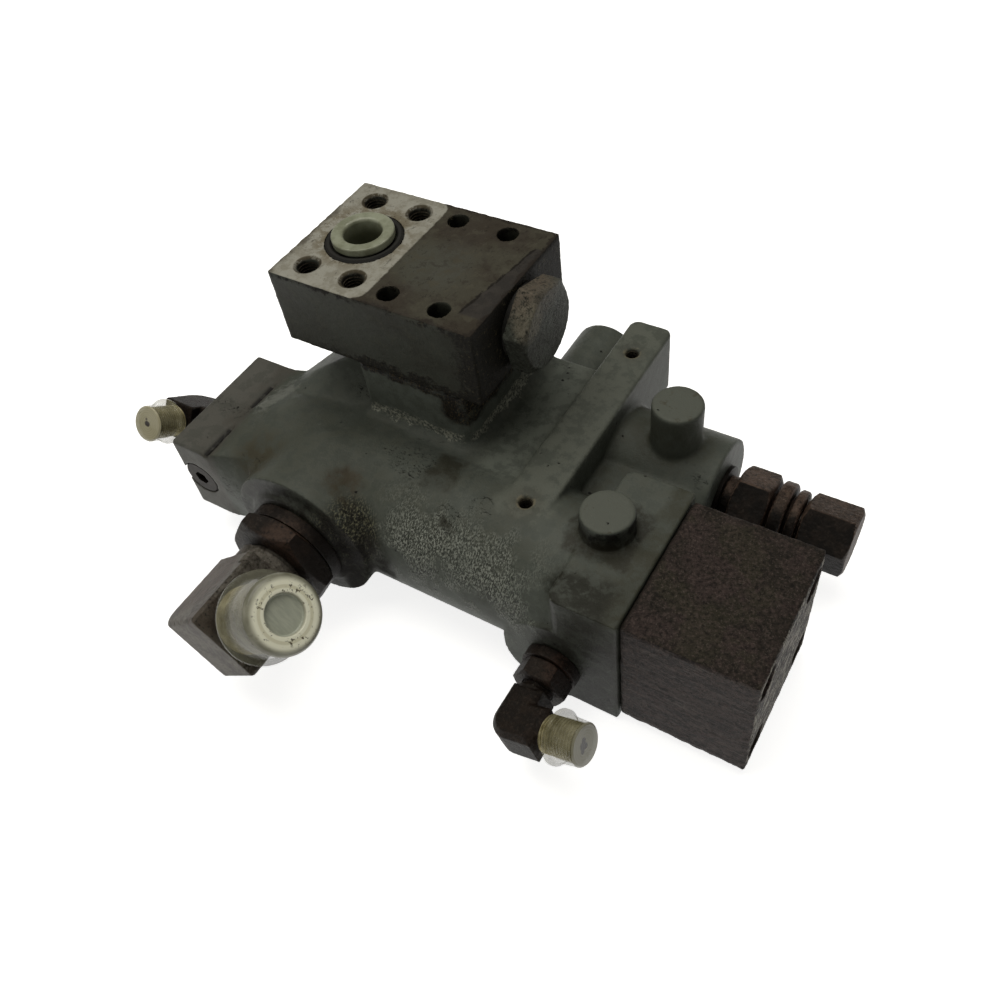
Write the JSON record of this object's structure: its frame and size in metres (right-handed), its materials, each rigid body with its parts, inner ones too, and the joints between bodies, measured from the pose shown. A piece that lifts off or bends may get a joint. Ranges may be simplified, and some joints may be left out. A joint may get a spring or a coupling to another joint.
{
  "type": "hose rupture valve",
  "caption": "Hydraulic hose rupture valve: a cast housing with a bolted flange block, pilot cap, relief cartridge and elbow fittings with plastic caps.",
  "frame": {"origin": "centre of the flange port in the top face of the valve block", "axes": "+Z out of the flange port, +X along the main bore towards the pilot cap, +Y away from the hose port"},
  "size_m": [0.3794, 0.2752, 0.1639],
  "materials": {
    "casting_paint": "rough grey-green primer on cast iron, oily brown dirt in the corners",
    "block_paint": "worn grey paint on a machined steel block, bare round its port",
    "rusted_steel": "brown rust film on a sawn steel block",
    "fitting_steel": "oxidised forged steel",
    "screw_steel": "black oxide",
    "hardened_steel": "ground and hardened",
    "spring_steel": "oiled spring wire",
    "seal_rubber": "matt black nitrile rubber",
    "plug_plastic": "ivory polyethylene",
    "cap_plastic": "translucent polyethylene"
  },
  "bodies": {
    "valve_body": {"housing": "casting_paint", "valve_block": "block_paint", "pilot_cap": "rusted_steel", "hose_elbow": "fitting_steel", "hose_locknut": "fitting_steel", "hose_collar": "fitting_steel", "pilot_elbow": "fitting_steel", "pilot_locknut": "fitting_steel", "pilot_collar": "fitting_steel", "drain_elbow": "fitting_steel", "drain_locknut": "fitting_steel", "drain_collar": "fitting_steel", "relief_body": "fitting_steel", "relief_locknut": "fitting_steel", "relief_cap": "fitting_steel", "hex_plug": "fitting_steel", "block_screws": "screw_steel", "pilot_cap_screws": "screw_steel", "gallery_plug": "screw_steel", "cross_plug": "screw_steel", "relief_washer": "screw_steel", "poppet_spring": "spring_steel", "spool_spring": "spring_steel", "relief_spring": "spring_steel", "block_seals": "seal_rubber", "port_seal": "seal_rubber", "hex_plug_seal": "seal_rubber", "pilot_cap_seal": "seal_rubber", "relief_nose_seal": "seal_rubber"},
    "control_spool": {"control_spool": "hardened_steel", "spring_seat": "hardened_steel"},
    "pilot_piston": {"pilot_piston": "hardened_steel", "piston_seal": "seal_rubber"},
    "load_poppet": {"load_poppet": "hardened_steel"},
    "relief_poppet": {"relief_poppet": "hardened_steel"},
    "relief_adjuster": {"relief_adjuster": "hardened_steel"},
    "port_plug": {"port_plug": "plug_plastic"},
    "hose_port_cap": {"hose_port_cap": "cap_plastic"},
    "pilot_port_cap": {"pilot_port_cap": "cap_plastic"},
    "drain_port_cap": {"drain_port_cap": "cap_plastic"}
  },
  "joints": [
    {"name": "control_spool_slide", "type": "slide", "parent": "valve_body", "child": "control_spool", "axis": [-1, 0, 0], "range_m": [0, 0.008], "stiffness_N_per_m": 1500, "springref_m": -0.006, "deforming": ["spool_spring"]},
    {"name": "pilot_piston_slide", "type": "slide", "parent": "valve_body", "child": "pilot_piston", "axis": [-1, 0, 0], "range_m": [0, 0.008]},
    {"name": "load_poppet_slide", "type": "slide", "parent": "valve_body", "child": "load_poppet", "axis": [1, 0, 0], "range_m": [0, 0.007], "stiffness_N_per_m": 400, "springref_m": -0.005, "deforming": ["poppet_spring"]},
    {"name": "relief_poppet_slide", "type": "slide", "parent": "valve_body", "child": "relief_poppet", "axis": [1, 0, 0], "range_m": [0, 0.002], "stiffness_N_per_m": 100, "springref_m": -0.004, "deforming": ["relief_spring"]},
    {"name": "relief_adjuster_turn", "type": "hinge", "parent": "valve_body", "child": "relief_adjuster", "pos_m": [0.165, 0.0165, -0.118], "axis": [1, 0, 0], "range_deg": [-180, 180]},
    {"name": "port_plug_pull", "type": "slide", "parent": "valve_body", "child": "port_plug", "axis": [0, 0, 1], "range_m": [0, 0.02]},
    {"name": "hose_port_cap_pull", "type": "slide", "parent": "valve_body", "child": "hose_port_cap", "axis": [0.7604, 0, 0.6494], "range_m": [0, 0.03]},
    {"name": "pilot_port_cap_pull", "type": "slide", "parent": "valve_body", "child": "pilot_port_cap", "axis": [0.9367, 0, 0.3502], "range_m": [0, 0.02]},
    {"name": "drain_port_cap_pull", "type": "slide", "parent": "valve_body", "child": "drain_port_cap", "axis": [0, -0.7986, 0.6018], "range_m": [0, 0.02]}
  ],
  "couplings": [
    {"joint": "pilot_piston_slide", "follows": "control_spool_slide", "ratio": 1}
  ]
}
